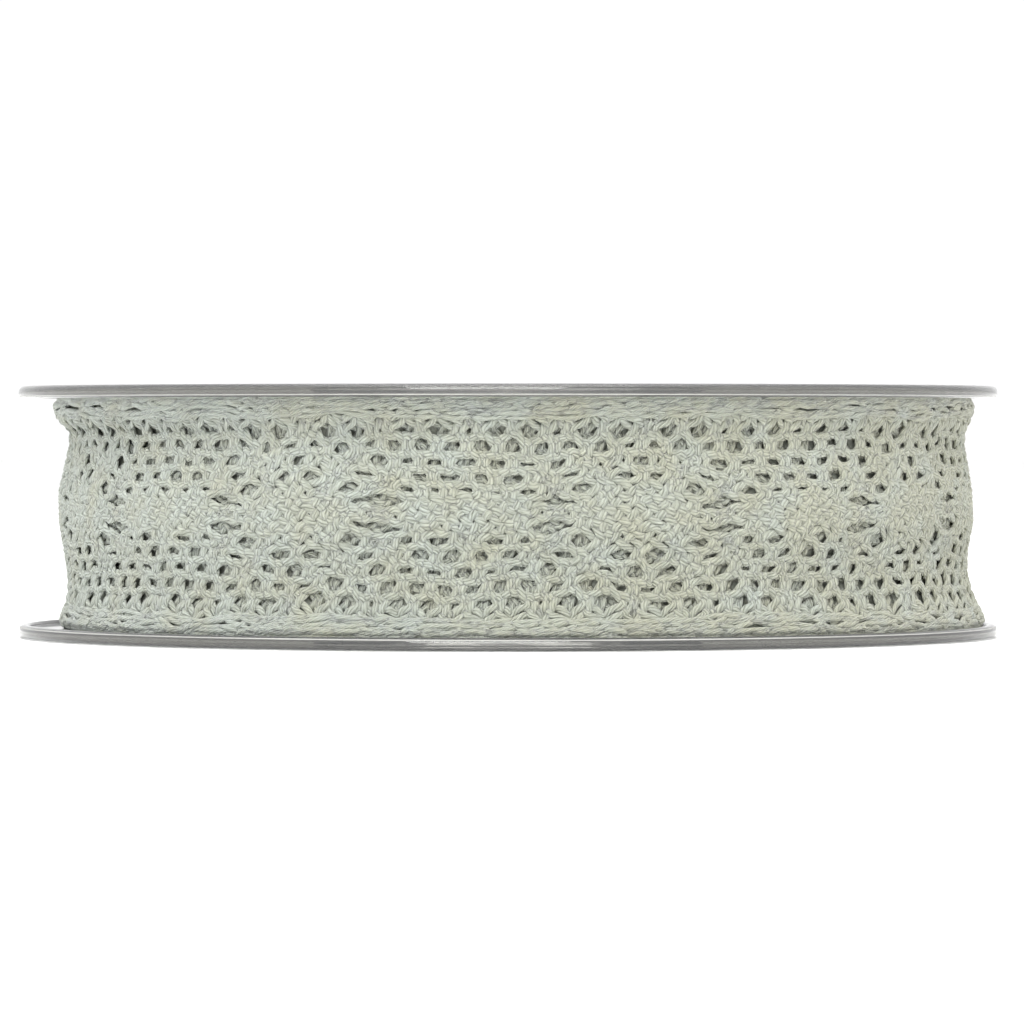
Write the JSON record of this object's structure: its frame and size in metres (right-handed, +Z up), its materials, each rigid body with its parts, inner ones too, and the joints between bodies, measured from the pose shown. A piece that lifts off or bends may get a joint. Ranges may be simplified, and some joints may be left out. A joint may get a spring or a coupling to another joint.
{
  "type": "spool of lace ribbon",
  "caption": "Round clear plastic reel wound with pale sage cotton bobbin lace, its open pattern showing between thin rimmed flanges.",
  "frame": {"origin": "centre of the lower flange's flat outer face, on the reel's axis", "axes": "+Z up along the reel's axis, +X to the picture's right, +Y away from the picture's camera"},
  "size_m": [0.11, 0.11, 0.0281],
  "materials": {
    "reel": "clear moulded polystyrene, glossy",
    "lace": "matt two-ply cotton yarn, pale sage green"
  },
  "bodies": {
    "root": {"reel_half_lower": "reel", "reel_half_upper": "reel", "lace_roll": "lace"}
  },
  "joints": []
}
